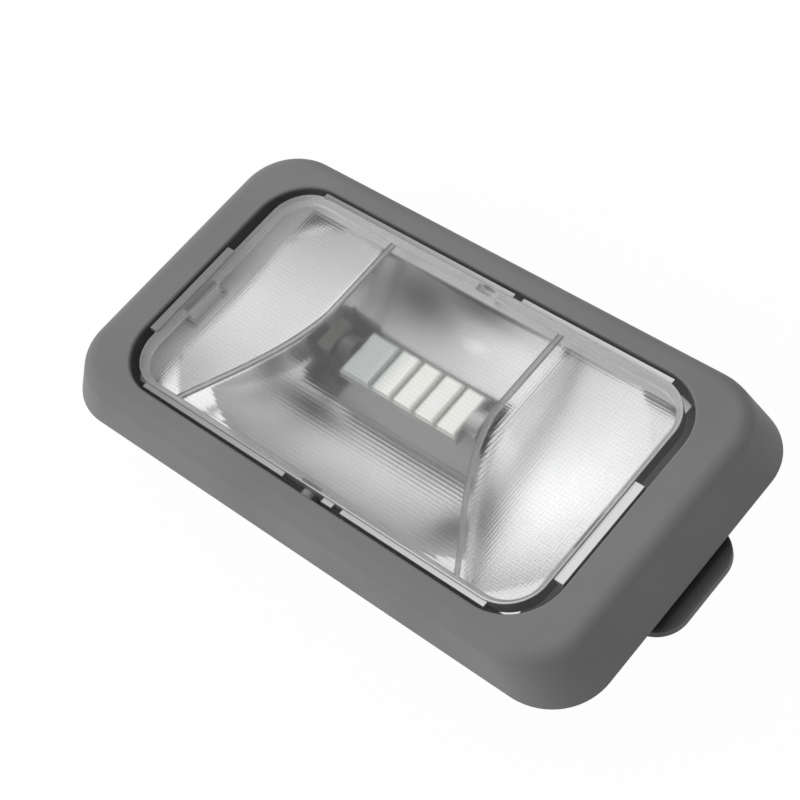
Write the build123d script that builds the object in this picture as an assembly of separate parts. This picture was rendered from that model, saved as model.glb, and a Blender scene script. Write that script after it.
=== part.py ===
from build123d import *
import math
import os

# Car dome light with a rocking clear lens, in millimetres. +Z points out of the lens into the cabin.
# +X runs along the long side towards the locating tongue.
# The origin is the middle of the plane where the bezel meets the roof.

# Bezel: the opening leads, and the face and the skirt are worked out from it
OPENING_LENGTH = 100.0
OPENING_WIDTH = 53.2
OPENING_CORNER = 10.6
OPENING_ROUND = 0.5
FACE_BORDER_END = 7.8
FACE_BORDER_SIDE = 5.0
SKIRT_FLARE_END = 4.4
SKIRT_FLARE_SIDE = 1.75
BEZEL_CORNER = 11.8
BEZEL_HEIGHT = 10.0
SHOULDER_ROUND = 3.2
BEZEL_WALL = 2.2
COLLAR_WALL = 1.6
STIFFENER_THICK = 1.2
STIFFENER_X = 25.0

# Screws between the bezel and the rear housing
BOSS_RADIUS = 2.7
BOSS_MERGE = 0.25
BOSS_Y = 14.5
SCREW_RADIUS = 1.1
SCREW_LENGTH = 5.4
SCREW_HEAD_RADIUS = 2.4
SCREW_HEAD_HEIGHT = 1.4
SCREW_RECESS = 0.7
SCREW_RECESS_WIDTH = 0.6
PILOT_CLEARANCE = 0.05
SCREW_HOLE_CLEARANCE = 0.2

# Lens
LENS_END_GAP = 2.5
LENS_SIDE_GAP = 1.6
LENS_CORNER = 8.0
LENS_THICK = 2.0
LENS_EDGE_ROUND = 0.4
LENS_SKIRT_WALL = 1.4
LENS_SKIRT_DEPTH = 3.0
EDGE_STEP = 0.5
EDGE_THICK = 1.2
EDGE_REACH = 0.9
EDGE_LENGTH = 82.0
LIP_REACH = 1.9
LIP_WIDTH = 21.8
LIP_Y = -4.7
PIVOT_NOTCH_X = -0.3
PIVOT_NOTCH_WIDTH = 9.4
SLIT_WIDTH = 2.0
SLIT_FRONT_X = 7.8
SLIT_BACK_X = 6.8
PIN_RADIUS = 1.5
PIN_CLEARANCE = 0.05
PIN_END_RECESS = 0.35
PIVOT_DEPTH = 3.4
ROCK_ANGLE = 3.0
EAR_RADIUS = 2.3
PEG_WIDTH = 8.0
PEG_LENGTH = 8.7
DIVIDER_THICK = 1.0
DIVIDER_DEPTH = 0.8
DIVIDER_LEFT_SWEEP = 12.6
DIVIDER_RIGHT_SWEEP = 16.1
DIVIDER_KNEE_Y = 5.0
FLUTE_PITCH = 0.75
FLUTE_DEPTH = 0.09
FLUTE_ROOT = 0.05

# Lamp: a flat board with a row of light cells between two end caps; the first cell is longer
LED_COUNT = 5
LED_PITCH = 5.17
LED_LENGTH = 4.1
LED_FIRST_EXTRA = 2.4
LED_WIDTH = 9.1
LED_THICK = 1.0
LED_EDGE = 0.25
LED_FRONT = 3.6
LAMP_Y = 3.4
BOARD_WIDTH = 10.0
BOARD_THICK = 1.2
BOARD_MARGIN = 0.5
BOARD_TONGUE_WIDTH = 4.0
BOARD_TONGUE_LENGTH = 1.5
CAP_RADIUS = 2.7
CAP_LENGTH = 3.1
CAP_ROUND = 0.4
TIP_LENGTH = 1.2
TIP_RADIUS = 2.2
TIP_END_RADIUS = 0.8

# Reflector
RIM_THICK = 0.8
REFLECTOR_WALL = 1.2
WINDOW_CLEARANCE = 0.15
WINDOW_CORNER = 6.0
RIDGE_THICK = 1.6
RIDGE_OUTSET_LEFT = 3.0
RIDGE_OUTSET_RIGHT = 1.1
BOWL_RADIUS = 80.0
BOWL_X = 20.0
BOWL_FLOOR = -1.0
DISH_RADIUS = 42.0
DISH_STRETCH = 1.69
DISH_FLOOR = -5.2
WELL_WIDTH = 15.9
WELL_FLOOR = -6.4
WELL_ROOM_LEFT = 4.3
WELL_ROOM_RIGHT = 0.55
WELL_MARGIN = 0.2
PEG_SLOT_CLEARANCE = 0.8

# Rear housing
FLANGE_RECESS = 1.6
FLANGE_THICK = 1.6
FLANGE_CLEARANCE = 0.5
HOUSING_DEPTH = 15.5
HOUSING_WALL = 1.8
HOUSING_FLOOR_THICK = 2.0
HOUSING_CORNER = 11.0
HOUSING_FOOT_ROUND = 1.0
TONGUE_REACH = 13.15
TONGUE_WIDTH = 22.9
TONGUE_THICK = 2.3
TONGUE_CORNER = 6.1
TONGUE_EDGE = 0.5
PANEL_GAP = 1.6
GUSSET_Y = 6.0
GUSSET_REACH = 8.0
GUSSET_DEPTH = 5.0
GUSSET_THICK = 1.4

# Connector socket in the housing's front wall
SOCKET_X = 31.0
SOCKET_WIDTH = 18.0
SOCKET_HEIGHT = 7.5
SOCKET_DEPTH = 11.95
SOCKET_WALL = 1.4
BLADE_PITCH = 5.0
BLADE_WIDTH = 2.8
BLADE_LENGTH = 7.5

# Stamped strips on the housing's floor, and the bridges on the lens pegs that join them
STRIP_THICK = 0.8
STRIP_WIDTH = 3.2
STAKE_RADIUS = 0.9
STAKE_HEIGHT = 1.5
STAKE_CLEARANCE = 0.05
CONTACT_WIDTH = 7.0
CONTACT_TOP = 4.6
CONTACT_STANDOFF = 0.6
CONTACT_LIP_RUN = 2.4
CONTACT_LIP_RISE = 1.2
CONTACT_SLOT_CLEARANCE = 0.3
FRONT_RAIL_SETBACK = 2.6
FEED_RAIL_SETBACK = 7.6
COMMON_RAIL_SETBACK = 7.15
BRIDGE_THICK = 0.4
BRIDGE_OVERHANG = 2.4
BRIDGE_CHEEK_WIDTH = 5.0
BRIDGE_CHEEK_HEIGHT = 2.0
TAB_WIDTH = 3.4
TAB_OVERLAP = 2.0
TAB_CLEARANCE = 0.02

# Retaining clip at the left end
CLIP_THICK = 0.6
CLIP_WIDTH = 12.0
CLIP_FOOT_MARGIN = 0.5
CLIP_FOOT_LENGTH = 4.5
CLIP_NOSE_BELOW_PANEL = 0.9
CLIP_NOSE_REACH = 5.0
CLIP_END_MARGIN = 0.6
CLIP_END_REACH = 1.6
CLIP_BEND_RADIUS = 0.9
STUD_RADIUS = 1.5
STUD_RISE = 2.0
STUD_LENGTH = 1.4
STUD_CLEARANCE = 0.05

# Worked out from the sizes above
PAST = 1.0
FACE_LENGTH = OPENING_LENGTH + 2 * FACE_BORDER_END
FACE_WIDTH = OPENING_WIDTH + 2 * FACE_BORDER_SIDE
SEAT_LENGTH = FACE_LENGTH + 2 * SKIRT_FLARE_END
SEAT_WIDTH = FACE_WIDTH + 2 * SKIRT_FLARE_SIDE
FACE_BACK = BEZEL_HEIGHT - BEZEL_WALL
COLLAR_LENGTH = OPENING_LENGTH + 2 * COLLAR_WALL
COLLAR_WIDTH = OPENING_WIDTH + 2 * COLLAR_WALL
COLLAR_CORNER = OPENING_CORNER + COLLAR_WALL
FLANGE_FRONT = FLANGE_RECESS + FLANGE_THICK
RIM_FRONT = FLANGE_FRONT + RIM_THICK
BOSS_X = COLLAR_LENGTH / 2 + BOSS_RADIUS - BOSS_MERGE
SCREW_SPOTS = [(x, y) for x in (-BOSS_X, BOSS_X) for y in (-BOSS_Y, BOSS_Y)]

LENS_LENGTH = OPENING_LENGTH - 2 * LENS_END_GAP
LENS_WIDTH = OPENING_WIDTH - 2 * LENS_SIDE_GAP
LENS_FACE = BEZEL_HEIGHT
LENS_BACK = LENS_FACE - LENS_THICK
LENS_SKIRT_FOOT = LENS_FACE - LENS_SKIRT_DEPTH
PIVOT_Z = LENS_FACE - PIVOT_DEPTH
PEG_FOOT = LENS_BACK - PEG_LENGTH
LENS_INNER_LENGTH = LENS_LENGTH - 2 * LENS_SKIRT_WALL
LENS_INNER_WIDTH = LENS_WIDTH - 2 * LENS_SKIRT_WALL
LENS_INNER_CORNER = LENS_CORNER - LENS_SKIRT_WALL
PEG_X = LENS_LENGTH / 2 - LENS_SKIRT_WALL / 2
PEG_SLOT_INSIDE = LENS_LENGTH / 2 - LENS_SKIRT_WALL - PEG_SLOT_CLEARANCE
WINDOW_LENGTH = 2 * (PEG_SLOT_INSIDE - REFLECTOR_WALL - WINDOW_CLEARANCE)
WINDOW_WIDTH = LENS_INNER_WIDTH - 2 * WINDOW_CLEARANCE

BOARD_FRONT = LED_FRONT - LED_THICK
BOARD_BACK = BOARD_FRONT - BOARD_THICK
LAMP_Z = (BOARD_FRONT + BOARD_BACK) / 2
LED_ROW = (LED_COUNT - 1) * LED_PITCH + LED_LENGTH + LED_FIRST_EXTRA
LAMP_X = -LED_FIRST_EXTRA / 2
BOARD_HALF = LED_ROW / 2 + BOARD_MARGIN
CAP_END = BOARD_HALF + CAP_LENGTH
CONTACT_X = CAP_END + CONTACT_STANDOFF
CONTACT_HOLE = TIP_RADIUS - (TIP_RADIUS - TIP_END_RADIUS) * CONTACT_STANDOFF / TIP_LENGTH
WELL_LEFT = LAMP_X - CONTACT_X - STRIP_THICK - WELL_ROOM_LEFT
WELL_RIGHT = LAMP_X + CONTACT_X + STRIP_THICK + WELL_ROOM_RIGHT
WELL_FRONT = LAMP_Y - WELL_WIDTH / 2
WELL_BACK = LAMP_Y + WELL_WIDTH / 2
RIDGE_OUT = WELL_MARGIN + RIDGE_THICK / 2
DIVIDER_LEFT_TOP = WELL_LEFT - RIDGE_OUT + RIDGE_OUTSET_LEFT
DIVIDER_RIGHT_TOP = WELL_RIGHT + RIDGE_OUT - RIDGE_OUTSET_RIGHT
LAMP_MIDDLE = Plane((LAMP_X, 0, 0), z_dir=(1, 0, 0))

HOUSING_LENGTH = COLLAR_LENGTH
HOUSING_WIDTH = COLLAR_WIDTH
HOUSING_INNER_LENGTH = HOUSING_LENGTH - 2 * HOUSING_WALL
HOUSING_INNER_WIDTH = HOUSING_WIDTH - 2 * HOUSING_WALL
HOUSING_INNER_CORNER = HOUSING_CORNER - HOUSING_WALL
FLOOR_Z = HOUSING_FLOOR_THICK - HOUSING_DEPTH
TONGUE_TOP = -PANEL_GAP
SOCKET_BACK_Y = SOCKET_DEPTH - HOUSING_WIDTH / 2
SOCKET_INNER_Y = SOCKET_BACK_Y + SOCKET_WALL
BLADE_FRONT_Z = FLOOR_Z + (SOCKET_HEIGHT + STRIP_THICK) / 2
FRONT_RAIL_Y = SOCKET_INNER_Y + FRONT_RAIL_SETBACK
FEED_RAIL_Y = SOCKET_INNER_Y + FEED_RAIL_SETBACK
COMMON_RAIL_Y = HOUSING_INNER_WIDTH / 2 - COMMON_RAIL_SETBACK
FEED_STAKES = [(-10.0, FEED_RAIL_Y), (12.0, FEED_RAIL_Y)]
EARTH_STAKES = [(-34.0, FRONT_RAIL_Y), (2.0, FRONT_RAIL_Y)]
DOOR_STAKES = [(42.0, FRONT_RAIL_Y)]
COMMON_STAKES = [(-30.0, COMMON_RAIL_Y), (0.0, COMMON_RAIL_Y), (32.0, COMMON_RAIL_Y)]
BRIDGE_BACK = PEG_FOOT - BRIDGE_THICK
BRIDGE_OUTSIDE = LENS_LENGTH / 2 + BRIDGE_THICK
BRIDGE_HALF = PEG_WIDTH / 2 + BRIDGE_OVERHANG
PRESS_COS = math.cos(math.radians(ROCK_ANGLE))
PRESS_SIN = math.sin(math.radians(ROCK_ANGLE))
TAB_FRONT = PIVOT_Z + (BRIDGE_BACK - PIVOT_Z) * PRESS_COS - BRIDGE_OUTSIDE * PRESS_SIN - TAB_CLEARANCE
CLIP_FOOT_Z = FLOOR_Z + CLIP_FOOT_MARGIN
CLIP_BEND_Z = CLIP_FOOT_Z + CLIP_FOOT_LENGTH
CLIP_NOSE_Z = -PANEL_GAP - CLIP_NOSE_BELOW_PANEL
CLIP_END_Z = FLANGE_RECESS - CLIP_END_MARGIN
STUD_Z = CLIP_FOOT_Z + STUD_RISE


def slab(length, width, corner, z_low, z_high):
    """Upright prism on a rounded rectangle about the Z axis."""
    return Pos(0, 0, z_low) * extrude(RectangleRounded(length, width, corner), z_high - z_low)


def block(x_low, x_high, y_low, y_high, z_low, z_high):
    """Box between two opposite corners."""
    middle = Pos((x_low + x_high) / 2, (y_low + y_high) / 2, (z_low + z_high) / 2)
    return middle * Box(abs(x_high - x_low), abs(y_high - y_low), abs(z_high - z_low))


def rod(x, y, z_low, z_high, radius):
    """Upright round bar."""
    return Pos(x, y, (z_low + z_high) / 2) * Cylinder(radius, z_high - z_low)


def sloping_block(inset, height):
    """Block with the skirt's sloping sides moved inwards by inset, from the roof up to a height."""
    part_way = height / BEZEL_HEIGHT
    half_length = SEAT_LENGTH / 2 - inset
    half_width = SEAT_WIDTH / 2 - inset
    top_length = half_length - SKIRT_FLARE_END * part_way
    top_width = half_width - SKIRT_FLARE_SIDE * part_way
    along = Polyline(
        (-half_length, 0), (half_length, 0), (top_length, height), (-top_length, height), close=True
    )
    across = Polyline(
        (-half_width, 0), (half_width, 0), (top_width, height), (-top_width, height), close=True
    )
    body = extrude(Plane.XZ * make_face(along), half_width, both=True)
    body &= extrude(Plane.YZ * make_face(across), half_length, both=True)
    corners = body.edges().filter_by(lambda edge: edge.bounding_box().size.Z > height / 2)
    return fillet(corners, BEZEL_CORNER - inset)


def make_bezel():
    """Frame moulded in one: sloping skirt, rounded shoulder, collar, screw bosses and stiffeners."""
    shell = sloping_block(0, BEZEL_HEIGHT)
    shell = fillet(shell.faces().sort_by(Axis.Z)[-1].edges(), SHOULDER_ROUND)
    shell -= sloping_block(BEZEL_WALL, FACE_BACK)
    shell += slab(COLLAR_LENGTH, COLLAR_WIDTH, COLLAR_CORNER, RIM_FRONT, BEZEL_HEIGHT - PAST)
    for x, y in SCREW_SPOTS:
        shell += rod(x, y, FLANGE_FRONT, FACE_BACK + BEZEL_WALL / 2, BOSS_RADIUS)
    shell -= slab(COLLAR_LENGTH, COLLAR_WIDTH, COLLAR_CORNER, 0, RIM_FRONT)
    in_collar = (COLLAR_WIDTH - COLLAR_WALL) / 2
    in_skirt = FACE_WIDTH / 2 - BEZEL_WALL / 2
    for x in (-STIFFENER_X, STIFFENER_X):
        left, right = x - STIFFENER_THICK / 2, x + STIFFENER_THICK / 2
        foot, top = RIM_FRONT + FLANGE_CLEARANCE, FACE_BACK + BEZEL_WALL / 2
        shell += block(left, right, in_collar, in_skirt, foot, top)
        shell += block(left, right, -in_skirt, -in_collar, foot, top)
    shell -= slab(OPENING_LENGTH, OPENING_WIDTH, OPENING_CORNER, -PAST, BEZEL_HEIGHT + PAST)
    mouth = shell.edges().group_by(Axis.Z)[-1].filter_by(
        lambda edge: abs(edge.center().X) <= OPENING_LENGTH / 2 + OPENING_ROUND
        and abs(edge.center().Y) <= OPENING_WIDTH / 2 + OPENING_ROUND
    )
    shell = fillet(mouth, OPENING_ROUND)
    pilot_end = FLANGE_RECESS + SCREW_LENGTH + PILOT_CLEARANCE
    for x, y in SCREW_SPOTS:
        shell -= rod(x, y, FLANGE_FRONT, pilot_end, SCREW_RADIUS + PILOT_CLEARANCE)
    bore = Cylinder(PIN_RADIUS + PIN_CLEARANCE, COLLAR_WIDTH + PIN_RADIUS)
    return shell - Pos(0, 0, PIVOT_Z) * Rot(90, 0, 0) * bore


def divider_line(x, sweep):
    """Line of a lens divider: straight from the back edge to the knee, then sweeping out to the front."""
    back_y = LENS_WIDTH / 2
    drop = DIVIDER_KNEE_Y + back_y
    knee = (x, DIVIDER_KNEE_Y)
    early = (x + 0.17 * sweep, DIVIDER_KNEE_Y - 0.29 * drop)
    late = (x + 0.55 * sweep, DIVIDER_KNEE_Y - 0.64 * drop)
    straight = Line((x, back_y), knee)
    return [straight, Spline(knee, early, late, (x + sweep, -back_y))]


def middle_field(left_out, right_out, z_low, z_high):
    """Prism between the two dividers, each moved outwards by its own distance."""
    left = divider_line(DIVIDER_LEFT_TOP - left_out, -DIVIDER_LEFT_SWEEP)
    right = divider_line(DIVIDER_RIGHT_TOP + right_out, DIVIDER_RIGHT_SWEEP)
    back = Line(left[0] @ 0, right[0] @ 0)
    front = Line(left[1] @ 1, right[1] @ 1)
    return Pos(0, 0, z_low) * extrude(make_face(left + right + [back, front]), z_high - z_low)


def ridge_field(outset):
    """Prism between the two ridges' middle lines, each moved outwards by outset."""
    left_out, right_out = RIDGE_OUTSET_LEFT + outset, RIDGE_OUTSET_RIGHT + outset
    return middle_field(left_out, right_out, -HOUSING_DEPTH, BEZEL_HEIGHT)


def make_flutes():
    """Fine ridges along X on the back of the lens's middle field."""
    half = LENS_INNER_WIDTH / 2
    count = math.floor(2 * half / FLUTE_PITCH)
    start = -count * FLUTE_PITCH / 2
    root = LENS_BACK - FLUTE_ROOT
    crest = root - FLUTE_DEPTH
    front = LENS_BACK + LENS_THICK / 4
    outline = [(start, root)]
    for number in range(count):
        outline.append((start + (number + 0.5) * FLUTE_PITCH, crest))
        outline.append((start + (number + 1) * FLUTE_PITCH, root))
    outline += [(-start, front), (start, front)]
    ridges = extrude(Plane.YZ * make_face(Polyline(*outline, close=True)), LENS_LENGTH / 2, both=True)
    return ridges & middle_field(0, 0, crest - PAST, front + PAST)


def make_lens():
    """Clear rocker moulded in one: panel, skirt, edge strips, lips, dividers, flutes, pivots and pegs."""
    panel = slab(LENS_LENGTH, LENS_WIDTH, LENS_CORNER, LENS_SKIRT_FOOT, LENS_FACE)
    panel = fillet(panel.faces().sort_by(Axis.Z)[-1].edges(), LENS_EDGE_ROUND)
    panel -= slab(LENS_INNER_LENGTH, LENS_INNER_WIDTH, LENS_INNER_CORNER, LENS_SKIRT_FOOT - PAST, LENS_BACK)

    edge_front = LENS_FACE - EDGE_STEP
    edge_back = edge_front - EDGE_THICK
    wall = LENS_SKIRT_WALL
    side = LENS_WIDTH / 2
    end = LENS_LENGTH / 2
    half = EDGE_LENGTH / 2
    strip_back = block(-half, half, side - wall / 2, side + EDGE_REACH, edge_back, edge_front)
    strip_front = block(-half, half, -side - EDGE_REACH, wall / 2 - side, edge_back, edge_front)
    pivot_notch = (PIVOT_NOTCH_X, PIVOT_NOTCH_WIDTH, -side)
    slit_front = (SLIT_FRONT_X, SLIT_WIDTH, -side)
    slit_back = (SLIT_BACK_X, SLIT_WIDTH, side)
    for x, width, y in (pivot_notch, slit_front, slit_back):
        past_y = y + math.copysign(EDGE_REACH + PAST, y)
        cut = block(x - width / 2, x + width / 2, y, past_y, edge_back - PAST, edge_front + PAST)
        strip_back -= cut
        strip_front -= cut
    lens = panel + strip_back + strip_front

    lip_low, lip_high = LIP_Y - LIP_WIDTH / 2, LIP_Y + LIP_WIDTH / 2
    peg_low, peg_high = LIP_Y - PEG_WIDTH / 2, LIP_Y + PEG_WIDTH / 2
    lens += block(end - wall / 2, end + LIP_REACH, lip_low, lip_high, edge_back, edge_front)
    lens += block(-end - LIP_REACH, wall / 2 - end, lip_low, lip_high, edge_back, edge_front)
    lens += block(end - wall, end, peg_low, peg_high, PEG_FOOT, LENS_BACK)
    lens += block(-end, wall - end, peg_low, peg_high, PEG_FOOT, LENS_BACK)

    pin_length = LENS_SIDE_GAP + COLLAR_WALL - PIN_END_RECESS
    for facing in (-1, 1):
        ear_outside = facing * side
        ear_inside = facing * (side - wall)
        lens += Pos(0, (ear_outside + ear_inside) / 2, PIVOT_Z) * Rot(90, 0, 0) * Cylinder(EAR_RADIUS, wall)
        lens += block(-EAR_RADIUS, EAR_RADIUS, ear_inside, ear_outside, PIVOT_Z, LENS_BACK)
        pin_middle = facing * (side - wall + (pin_length + wall) / 2)
        lens += Pos(0, pin_middle, PIVOT_Z) * Rot(90, 0, 0) * Cylinder(PIN_RADIUS, pin_length + wall)

    inside = slab(LENS_INNER_LENGTH + wall, LENS_INNER_WIDTH + wall, LENS_INNER_CORNER, 0, LENS_FACE)
    half = DIVIDER_THICK / 2
    field_edges = middle_field(half, half, LENS_BACK - DIVIDER_DEPTH, LENS_BACK + LENS_THICK / 2)
    field_edges -= middle_field(-half, -half, 0, LENS_FACE)
    return lens + (field_edges & inside) + (make_flutes() & inside)


def window_hollow(grow):
    """Prism behind the whole clear part of the lens, up to the rim, or past it where it is a space to cut."""
    top = RIM_FRONT if grow else RIM_FRONT + PAST
    length = WINDOW_LENGTH + 2 * grow
    return slab(length, WINDOW_WIDTH + 2 * grow, WINDOW_CORNER + grow, -HOUSING_DEPTH, top)


def bowl_hollow(facing, grow):
    """Space of an end bowl, or the outside of its wall when grown by the wall."""
    centre = Pos(facing * BOWL_X, 0, BOWL_FLOOR + BOWL_RADIUS)
    end = window_hollow(grow) - ridge_field(RIDGE_THICK / 2 - grow)
    half = block(0, facing * LENS_LENGTH, -LENS_WIDTH, LENS_WIDTH, -HOUSING_DEPTH, BEZEL_HEIGHT)
    return (end & half) & (centre * Sphere(BOWL_RADIUS + grow))


def dish_hollow(grow):
    """Space of the middle dish, stretched along X, or the outside of its wall when grown by the wall."""
    field = window_hollow(grow) & ridge_field(grow - RIDGE_THICK / 2)
    dish = scale(Rot(90, 0, 0) * Sphere(DISH_RADIUS + grow), by=(DISH_STRETCH, 1, 1))
    return field & (Pos(0, 0, DISH_FLOOR + DISH_RADIUS) * dish)


def well_hollow(grow):
    """Space of the lamp well, or the outside of its wall when grown by the wall."""
    top = RIM_FRONT if grow else RIM_FRONT + PAST
    low = WELL_FLOOR - grow
    return block(WELL_LEFT - grow, WELL_RIGHT + grow, WELL_FRONT - grow, WELL_BACK + grow, low, top)


def make_reflector():
    """Bright tray moulded in one: flat rim, two end bowls, middle dish and lamp well."""
    wall = REFLECTOR_WALL
    tray = slab(COLLAR_LENGTH, COLLAR_WIDTH, COLLAR_CORNER, FLANGE_FRONT, RIM_FRONT)
    tray += [bowl_hollow(-1, wall), bowl_hollow(1, wall), dish_hollow(wall), well_hollow(wall)]
    tray -= [bowl_hollow(-1, 0), bowl_hollow(1, 0), dish_hollow(0), well_hollow(0)]
    room = 2 * PEG_SLOT_CLEARANCE
    peg_slot = Box(LENS_SKIRT_WALL + room, PEG_WIDTH + room, 4 * RIM_THICK)
    room = 2 * CONTACT_SLOT_CLEARANCE
    contact_slot = Box(STRIP_THICK + room, CONTACT_WIDTH + room, 4 * wall)
    contact_middle = CONTACT_X + STRIP_THICK / 2
    for facing in (-1, 1):
        tray -= Pos(facing * PEG_X, LIP_Y, RIM_FRONT) * peg_slot
        tray -= Pos(LAMP_X + facing * contact_middle, LAMP_Y, WELL_FLOOR - wall / 2) * contact_slot
    return tray


def make_tongue():
    """Locating tongue that hooks behind the roof panel, with its two gussets."""
    root = HOUSING_LENGTH / 2 - HOUSING_WALL / 2
    tip = HOUSING_LENGTH / 2 + TONGUE_REACH
    low = TONGUE_TOP - TONGUE_THICK
    plate = block(root, tip, -TONGUE_WIDTH / 2, TONGUE_WIDTH / 2, low, TONGUE_TOP)
    plate = fillet(plate.edges().filter_by(Axis.Z).group_by(Axis.X)[-1], TONGUE_CORNER)
    rim = plate.faces().sort_by(Axis.Z)[-1].edges() + plate.faces().sort_by(Axis.Z)[0].edges()
    plate = fillet(rim.filter_by(lambda edge: edge.center().X > root + TONGUE_EDGE), TONGUE_EDGE)
    wall = HOUSING_LENGTH / 2
    side = Polyline(
        (root, low + TONGUE_EDGE), (wall + GUSSET_REACH, low + TONGUE_EDGE), (wall + GUSSET_REACH, low),
        (wall, low - GUSSET_DEPTH), (root, low - GUSSET_DEPTH), close=True,
    )
    gusset = extrude(Plane.XZ * make_face(side), GUSSET_THICK / 2, both=True)
    return plate + Pos(0, -GUSSET_Y, 0) * gusset + Pos(0, GUSSET_Y, 0) * gusset


def make_rear_housing():
    """Dark tray moulded in one: flange, walls, floor, connector socket, tongue and clip stud."""
    part_way = FLANGE_FRONT / BEZEL_HEIGHT
    flange_length = SEAT_LENGTH - 2 * (SKIRT_FLARE_END * part_way + BEZEL_WALL + FLANGE_CLEARANCE)
    flange_width = SEAT_WIDTH - 2 * (SKIRT_FLARE_SIDE * part_way + BEZEL_WALL + FLANGE_CLEARANCE)
    tray = slab(HOUSING_LENGTH, HOUSING_WIDTH, HOUSING_CORNER, -HOUSING_DEPTH, FLANGE_FRONT)
    tray = fillet(tray.faces().sort_by(Axis.Z)[0].edges(), HOUSING_FOOT_ROUND)
    flange_corner = BEZEL_CORNER - BEZEL_WALL - FLANGE_CLEARANCE
    tray += slab(flange_length, flange_width, flange_corner, FLANGE_RECESS, FLANGE_FRONT)
    past_front = FLANGE_FRONT + PAST
    tray -= slab(HOUSING_INNER_LENGTH, HOUSING_INNER_WIDTH, HOUSING_INNER_CORNER, FLOOR_Z, past_front)
    for x, y in SCREW_SPOTS:
        tray -= rod(x, y, FLANGE_RECESS - PAST, past_front, SCREW_RADIUS + SCREW_HOLE_CLEARANCE)
    for x, y in FEED_STAKES + EARTH_STAKES + DOOR_STAKES + COMMON_STAKES:
        tray += rod(x, y, FLOOR_Z - HOUSING_FLOOR_THICK / 2, FLOOR_Z + STAKE_HEIGHT, STAKE_RADIUS)

    left, right = SOCKET_X - SOCKET_WIDTH / 2, SOCKET_X + SOCKET_WIDTH / 2
    ceiling = FLOOR_Z + SOCKET_HEIGHT
    wall_middle = (HOUSING_WALL - HOUSING_WIDTH) / 2
    tray += block(
        left - SOCKET_WALL, right + SOCKET_WALL, wall_middle, SOCKET_INNER_Y,
        FLOOR_Z - HOUSING_FLOOR_THICK / 2, ceiling + SOCKET_WALL,
    )
    tray -= block(left, right, -HOUSING_WIDTH, SOCKET_BACK_Y, FLOOR_Z, ceiling)
    half = BLADE_WIDTH / 2
    low, high = BLADE_FRONT_Z - STRIP_THICK, BLADE_FRONT_Z
    for x in blade_places():
        tray -= block(x - half, x + half, SOCKET_BACK_Y - PAST, SOCKET_INNER_Y, low, high)

    stud = Rot(0, 90, 0) * Cylinder(STUD_RADIUS, STUD_LENGTH)
    return tray + make_tongue() + Pos(-(HOUSING_LENGTH + STUD_LENGTH) / 2, 0, STUD_Z) * stud


def blade_places():
    """X places of the earth, feed and door blades in the socket."""
    return [SOCKET_X + step * BLADE_PITCH for step in (-1, 0, 1)]


def make_blade(x):
    """Connector blade through the socket's back wall, and its riser down to the floor."""
    left, right = x - BLADE_WIDTH / 2, x + BLADE_WIDTH / 2
    tip = SOCKET_BACK_Y - BLADE_LENGTH
    inner = SOCKET_INNER_Y + STRIP_THICK
    blade = block(left, right, tip, inner, BLADE_FRONT_Z - STRIP_THICK, BLADE_FRONT_Z)
    return blade + block(left, right, SOCKET_INNER_Y, inner, FLOOR_Z, BLADE_FRONT_Z)


def floor_run(x_low, x_high, y_low, y_high):
    """Flat length of strip on the housing's floor."""
    return block(x_low, x_high, y_low, y_high, FLOOR_Z, FLOOR_Z + STRIP_THICK)


def without_stakes(strip, stakes):
    """Strip with a hole for each stake that holds it down."""
    for x, y in stakes:
        strip -= rod(x, y, FLOOR_Z, FLOOR_Z + STRIP_THICK, STAKE_RADIUS + STAKE_CLEARANCE)
    return strip


def make_lamp_contact(facing, lip_run):
    """Upright end of a strip: holds the tip of a lamp cap in a hole, with an optional lead-in lip."""
    near = LAMP_X + CONTACT_X
    middle = near + STRIP_THICK / 2
    path = Polyline((middle, FLOOR_Z), (middle, CONTACT_TOP))
    plate = trace(path, STRIP_THICK)
    if lip_run:
        path = FilletPolyline(
            (middle, FLOOR_Z), (middle, CONTACT_TOP - CONTACT_LIP_RISE), (middle + lip_run, CONTACT_TOP),
            radius=STRIP_THICK,
        )
        plate = trace(path, STRIP_THICK)
    upright = Pos(0, LAMP_Y, 0) * extrude(Plane.XZ * plate, CONTACT_WIDTH / 2, both=True)
    upright -= Pos(near, LAMP_Y, LAMP_Z) * Rot(0, 90, 0) * Cylinder(CONTACT_HOLE, 4 * STRIP_THICK)
    return upright if facing > 0 else mirror(upright, LAMP_MIDDLE)


def make_feed_strip():
    """Strip from the middle blade to the lamp's left contact."""
    x = blade_places()[1]
    half = STRIP_WIDTH / 2
    right = LAMP_X - CONTACT_X
    left = right - STRIP_WIDTH
    low, high = FEED_RAIL_Y - half, FEED_RAIL_Y + half
    strip = make_blade(x) + floor_run(x - half, x + half, SOCKET_INNER_Y, high)
    strip += floor_run(left, x + half, low, high)
    strip += floor_run(left, right, low, LAMP_Y + CONTACT_WIDTH / 2)
    return without_stakes(strip + make_lamp_contact(-1, CONTACT_LIP_RUN), FEED_STAKES)


def make_tab(x, leg_y, tip_y):
    """Leg up from the floor and the tab that a bridge is pressed down on, from the leg to tip_y."""
    left, right = x - TAB_WIDTH / 2, x + TAB_WIDTH / 2
    leg_back = leg_y + math.copysign(STRIP_THICK, leg_y - tip_y)
    leg = block(left, right, leg_y, leg_back, FLOOR_Z, TAB_FRONT)
    return leg + block(left, right, tip_y, leg_back, TAB_FRONT - STRIP_THICK, TAB_FRONT)


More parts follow.
